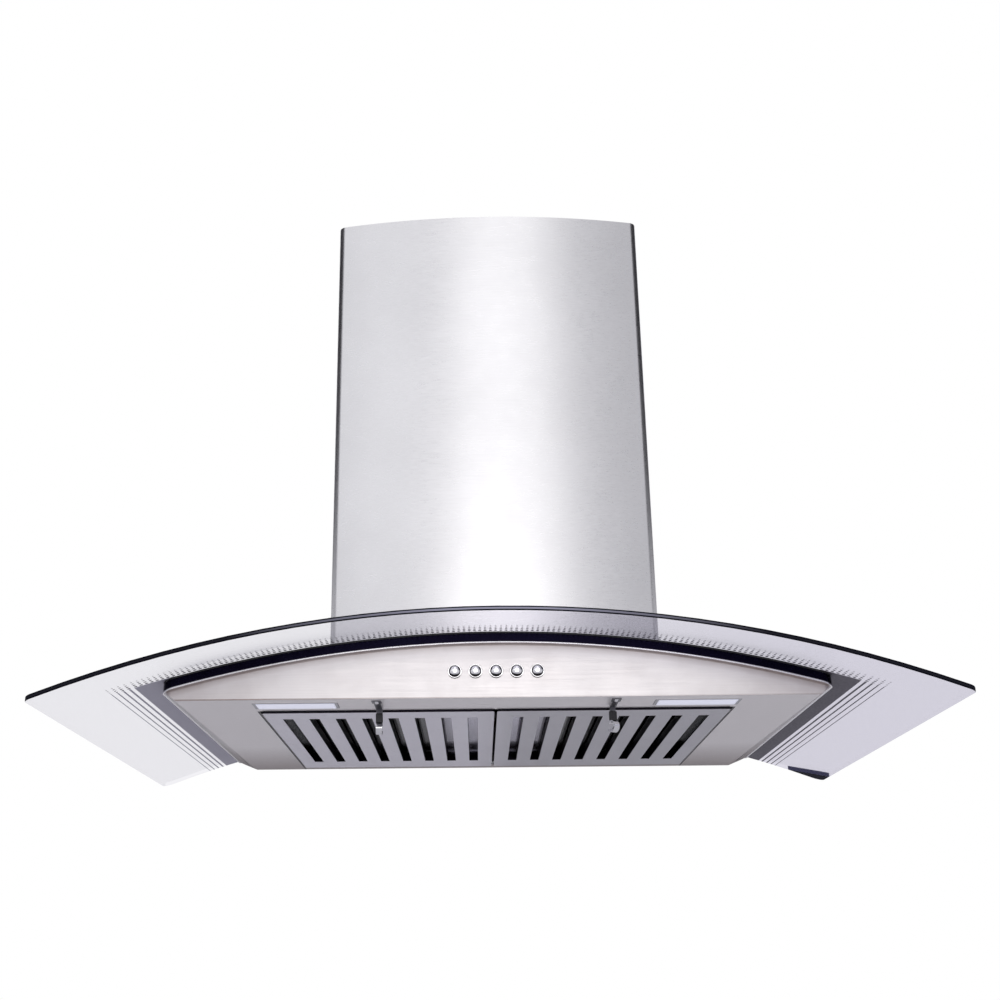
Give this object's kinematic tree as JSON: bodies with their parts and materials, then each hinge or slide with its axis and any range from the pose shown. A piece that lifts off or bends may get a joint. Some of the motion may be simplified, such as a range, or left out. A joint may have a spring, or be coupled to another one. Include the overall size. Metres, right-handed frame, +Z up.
{
  "type": "island range hood",
  "caption": "Ceiling-hung island range hood: arched glass canopy, steel housing with baffle filters, lamps and push buttons, and a bowed brushed-steel chimney.",
  "frame": {"origin": "centre of the ceiling plate's four bolt holes, on the plate's top face that meets the ceiling", "axes": "+X to the hood's right seen from the button side, +Y to the back, +Z up; the buttons and lamps face -Y"},
  "size_m": [0.9, 0.5865, 0.6286],
  "materials": {
    "glass": "clear toughened glass with a faint cool tint and dark polished edges",
    "print": "fired-on ceramic print, dark violet grey",
    "polished_steel": "polished stainless steel",
    "chrome": "bright chrome plating",
    "rubber_seal": "soft black seal",
    "black_plastic": "matt black moulding",
    "circuit_board": "green circuit board",
    "chimney_steel": "fine horizontal brushing",
    "housing_steel": "fine brushing along the front",
    "filter_steel": "brushed stainless baffles",
    "spring_steel": "spring steel, satin",
    "galvanised": "zinc-coated sheet",
    "light_plastic": "light grey moulding",
    "motor_paint": "black enamel",
    "lens": "frosted lamp lens"
  },
  "bodies": {
    "hood": {"glass_canopy": "glass", "glass_print": "print", "collar": "polished_steel", "gasket": "rubber_seal", "housing_shell": "housing_steel", "top_deck": "galvanised", "deck_screws": "polished_steel", "glass_clamps": "galvanised", "hinge_rod": "polished_steel", "hinge_brackets": "galvanised", "filter_stop": "galvanised", "latch_bases": "spring_steel", "latch_rivets": "polished_steel", "switch_block": "black_plastic", "control_board": "circuit_board", "chimney_front": "chimney_steel", "chimney_back": "chimney_steel", "chimney_seams": "galvanised", "ceiling_plate": "galvanised", "chimney_screws": "polished_steel", "hanging_posts": "galvanised", "cross_braces": "galvanised", "frame_screws": "polished_steel", "blower_box": "galvanised", "scroll_housing": "light_plastic", "motor": "motor_paint", "motor_bracket": "galvanised", "outlet_collar": "galvanised", "damper_pins": "polished_steel", "junction_box": "black_plastic", "cable_gland": "black_plastic", "capacitor": "light_plastic", "lamp_tray_left": "black_plastic", "lamp_lens_left": "lens", "lamp_board_left": "circuit_board", "lamp_tray_right": "black_plastic", "lamp_lens_right": "lens", "lamp_board_right": "circuit_board"},
    "impeller": {"impeller": "light_plastic", "motor_shaft": "polished_steel"},
    "button_1": {"button_1": "chrome"},
    "button_2": {"button_2": "chrome"},
    "button_3": {"button_3": "chrome"},
    "button_4": {"button_4": "chrome"},
    "button_5": {"button_5": "chrome"},
    "filter_left": {"filter_frame_left": "filter_steel", "lower_baffles_left": "filter_steel", "upper_baffles_left": "filter_steel"},
    "latch_left": {"latch_leaf_left": "spring_steel", "latch_block_left": "black_plastic", "latch_grip_left": "polished_steel"},
    "damper_left": {"damper_flap_left": "galvanised"},
    "filter_right": {"filter_frame_right": "filter_steel", "lower_baffles_right": "filter_steel", "upper_baffles_right": "filter_steel"},
    "latch_right": {"latch_leaf_right": "spring_steel", "latch_block_right": "black_plastic", "latch_grip_right": "polished_steel"},
    "damper_right": {"damper_flap_right": "galvanised"}
  },
  "joints": [
    {"name": "press_1", "type": "slide", "parent": "hood", "child": "button_1", "axis": [0, 1, 0], "range_m": [0, 0.003], "stiffness_N_per_m": 300, "springref_m": -0.002},
    {"name": "press_2", "type": "slide", "parent": "hood", "child": "button_2", "axis": [0, 1, 0], "range_m": [0, 0.003], "stiffness_N_per_m": 300, "springref_m": -0.002},
    {"name": "press_3", "type": "slide", "parent": "hood", "child": "button_3", "axis": [0, 1, 0], "range_m": [0, 0.003], "stiffness_N_per_m": 300, "springref_m": -0.002},
    {"name": "press_4", "type": "slide", "parent": "hood", "child": "button_4", "axis": [0, 1, 0], "range_m": [0, 0.003], "stiffness_N_per_m": 300, "springref_m": -0.002},
    {"name": "press_5", "type": "slide", "parent": "hood", "child": "button_5", "axis": [0, 1, 0], "range_m": [0, 0.003], "stiffness_N_per_m": 300, "springref_m": -0.002},
    {"name": "filter_left_swing", "type": "hinge", "parent": "hood", "child": "filter_left", "pos_m": [-0.124, 0.1955, -0.5985], "axis": [1, 0, 0], "range_deg": [0, 65]},
    {"name": "latch_left_flex", "type": "hinge", "parent": "hood", "child": "latch_left", "pos_m": [-0.122, -0.2102, -0.6021], "axis": [-1, 0, 0], "range_deg": [0, 8], "stiffness_Nm_per_rad": 0.4, "springref_deg": -8.59},
    {"name": "filter_right_swing", "type": "hinge", "parent": "hood", "child": "filter_right", "pos_m": [0.124, 0.1955, -0.5985], "axis": [1, 0, 0], "range_deg": [0, 65]},
    {"name": "latch_right_flex", "type": "hinge", "parent": "hood", "child": "latch_right", "pos_m": [0.122, -0.2102, -0.6021], "axis": [-1, 0, 0], "range_deg": [0, 8], "stiffness_Nm_per_rad": 0.4, "springref_deg": -8.59},
    {"name": "impeller_spin", "type": "hinge", "parent": "hood", "child": "impeller", "pos_m": [0, -0.028, -0.452], "axis": [1, 0, 0], "continuous": true},
    {"name": "damper_left_lift", "type": "hinge", "parent": "hood", "child": "damper_left", "pos_m": [-0.004, 0, -0.29], "axis": [0, 1, 0], "range_deg": [0, 75]},
    {"name": "damper_right_lift", "type": "hinge", "parent": "hood", "child": "damper_right", "pos_m": [0.004, 0, -0.29], "axis": [0, -1, 0], "range_deg": [0, 75]}
  ]
}
